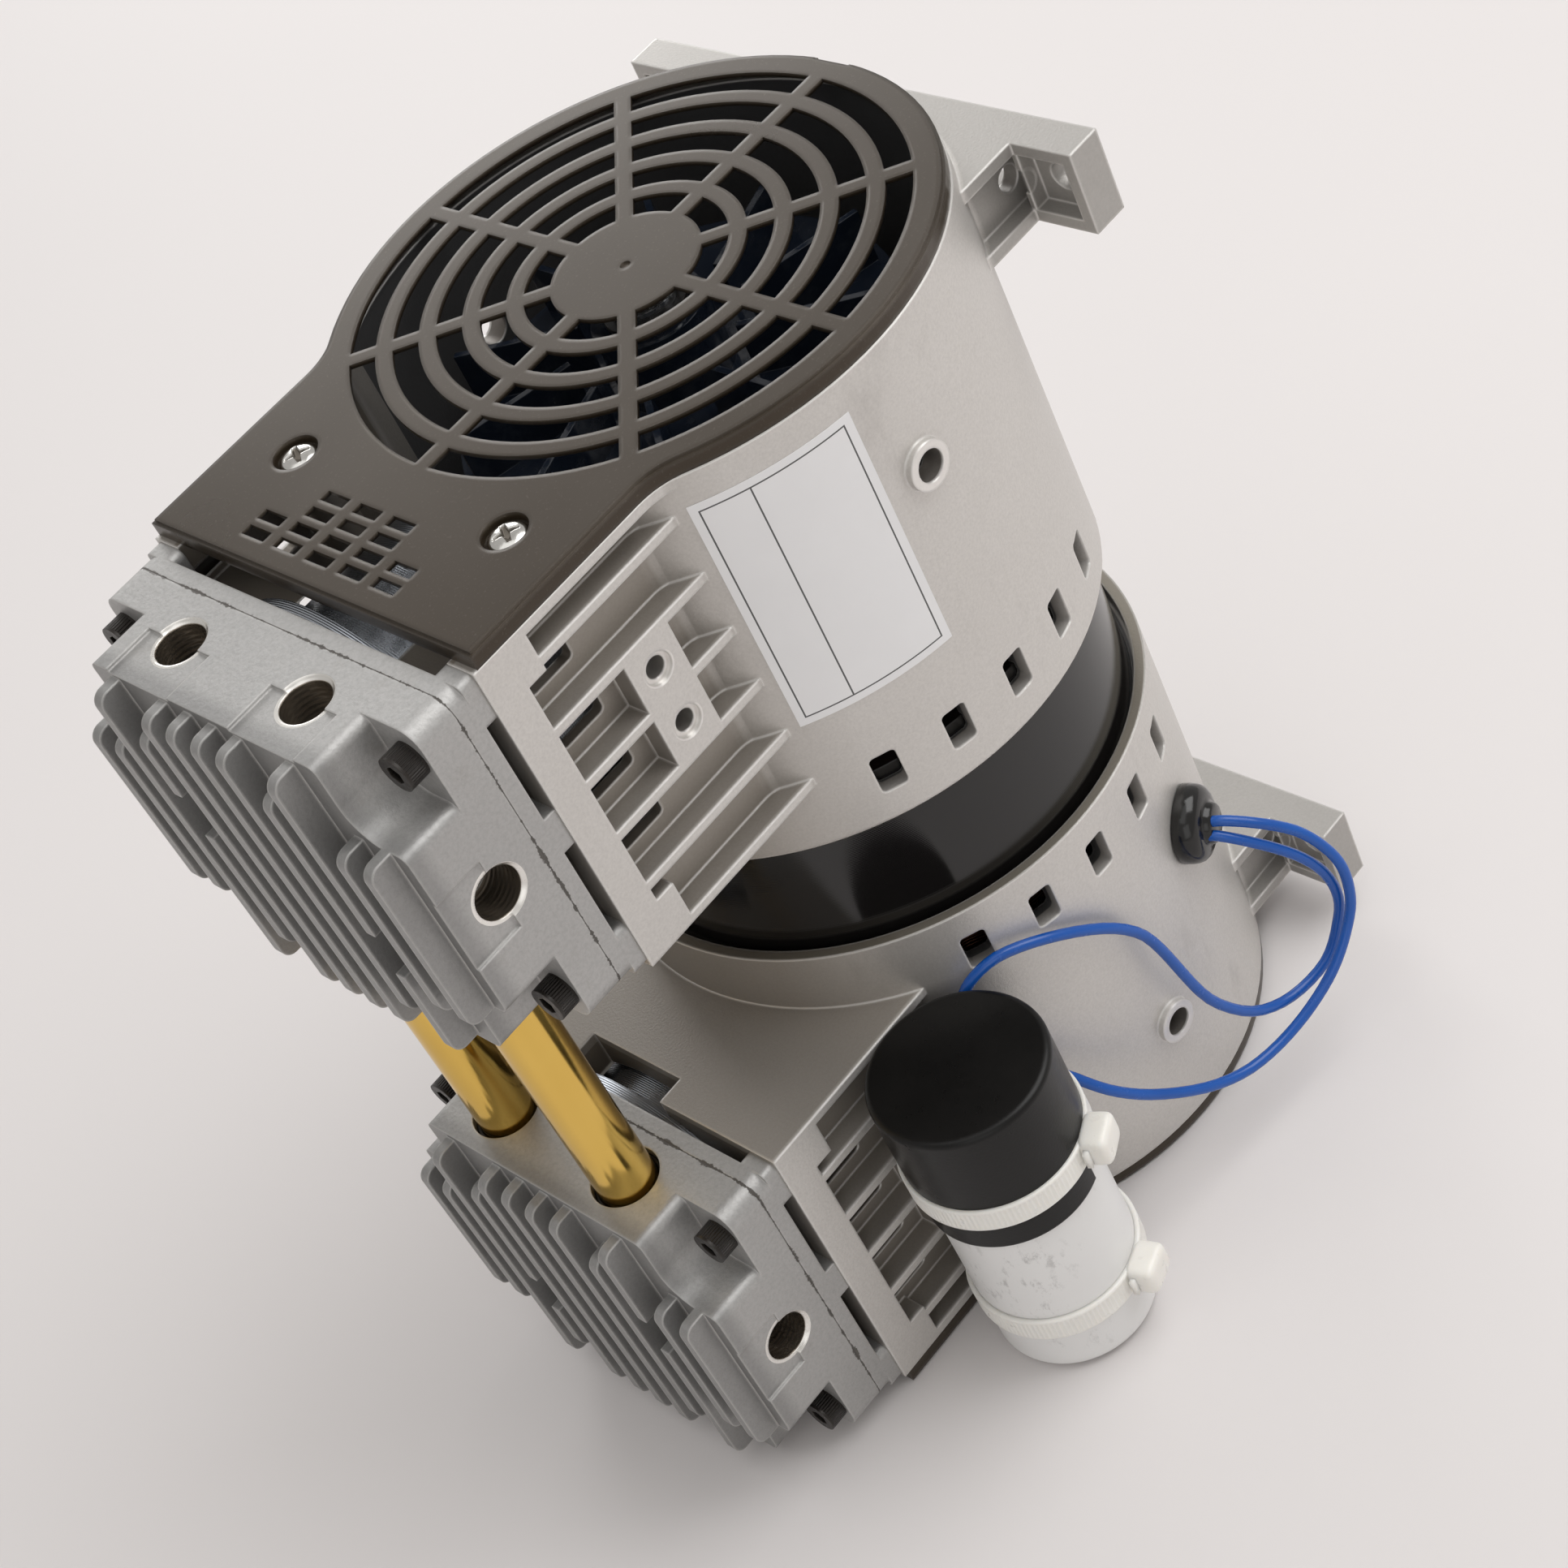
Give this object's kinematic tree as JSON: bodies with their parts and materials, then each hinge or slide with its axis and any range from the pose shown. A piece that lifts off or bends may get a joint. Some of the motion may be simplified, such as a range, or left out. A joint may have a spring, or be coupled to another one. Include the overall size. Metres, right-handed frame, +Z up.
{
  "type": "twin piston air pump",
  "caption": "Oil-less twin piston air pump on end: motor drum between two finned cylinder heads, gold connecting tubes, capacitor, feet and fan grilles.",
  "frame": {"origin": "on the motor axis, at the outer face of the lower fan cover, where the pump stands", "axes": "+Z up along the motor axis, -X towards the cylinder heads, +X towards the feet, -Y the flank with the capacitor, the label and the lead wires"},
  "size_m": [0.2114, 0.1729, 0.252],
  "materials": {
    "cast_aluminium": "satin",
    "machined_aluminium": "satin",
    "cover_black": "satin",
    "lamination_black": "satin",
    "copper_wire": "satin",
    "bright_steel": "bright",
    "black_oxide": "satin",
    "anodised_gold": "satin",
    "fan_plastic": "matte",
    "seal_plastic": "matte",
    "black_rubber": "satin",
    "white_can": "satin",
    "nylon": "translucent",
    "blue_insulation": "gloss",
    "label_film": "satin"
  },
  "bodies": {
    "pump_body": {"upper_fan_cover": "cover_black", "lower_fan_cover": "cover_black", "cover_screws": "bright_steel", "upper_housing": "cast_aluminium", "lower_housing": "cast_aluminium", "stator_core": "lamination_black", "stator_windings": "copper_wire", "motor_bolts": "bright_steel", "upper_motor_bearing": "bright_steel", "lower_motor_bearing": "bright_steel", "upper_cylinder": "cast_aluminium", "lower_cylinder": "cast_aluminium", "upper_valve_plate": "machined_aluminium", "lower_valve_plate": "machined_aluminium", "reed_valves": "bright_steel", "upper_head_gasket": "black_rubber", "lower_head_gasket": "black_rubber", "upper_cylinder_head": "machined_aluminium", "lower_cylinder_head": "machined_aluminium", "head_screws": "black_oxide", "near_connecting_tube": "anodised_gold", "far_connecting_tube": "anodised_gold", "tube_o_rings": "black_rubber", "capacitor_can": "white_can", "capacitor_boot": "black_rubber", "capacitor_terminals": "bright_steel", "boot_tie": "nylon", "can_tie": "nylon", "wire_grommet": "black_rubber", "outer_lead_wire": "blue_insulation", "inner_lead_wire": "blue_insulation", "rating_label": "label_film"},
    "crank": {"motor_shaft": "bright_steel", "rotor": "lamination_black", "upper_eccentric": "bright_steel", "lower_eccentric": "bright_steel", "upper_fan": "fan_plastic", "lower_fan": "fan_plastic", "fan_clips": "bright_steel"},
    "upper_rod": {"upper_connecting_rod": "cast_aluminium", "upper_big_end_bearing": "bright_steel", "upper_wrist_pin": "bright_steel"},
    "lower_rod": {"lower_connecting_rod": "cast_aluminium", "lower_big_end_bearing": "bright_steel", "lower_wrist_pin": "bright_steel"},
    "upper_piston": {"upper_piston": "cast_aluminium", "upper_piston_rings": "seal_plastic"},
    "lower_piston": {"lower_piston": "cast_aluminium", "lower_piston_rings": "seal_plastic"}
  },
  "joints": [
    {"name": "crank_spin", "type": "hinge", "parent": "pump_body", "child": "crank", "pos_m": [0, 0, 0.126], "axis": [0, 0, 1], "continuous": true},
    {"name": "upper_rod_pivot", "type": "hinge", "parent": "crank", "child": "upper_rod", "pos_m": [0.006, 0, 0.20475], "axis": [0, 0, 1], "continuous": true},
    {"name": "lower_rod_pivot", "type": "hinge", "parent": "crank", "child": "lower_rod", "pos_m": [-0.006, 0, 0.04725], "axis": [0, 0, 1], "continuous": true},
    {"name": "upper_piston_slide", "type": "slide", "parent": "pump_body", "child": "upper_piston", "axis": [-1, 0, 0], "range_m": [0, 0.012]},
    {"name": "lower_piston_slide", "type": "slide", "parent": "pump_body", "child": "lower_piston", "axis": [1, 0, 0], "range_m": [0, 0.012]}
  ],
  "couplings": [
    {"joint": "upper_rod_pivot", "follows": "crank_spin", "ratio": -1},
    {"joint": "lower_rod_pivot", "follows": "crank_spin", "ratio": -1}
  ]
}
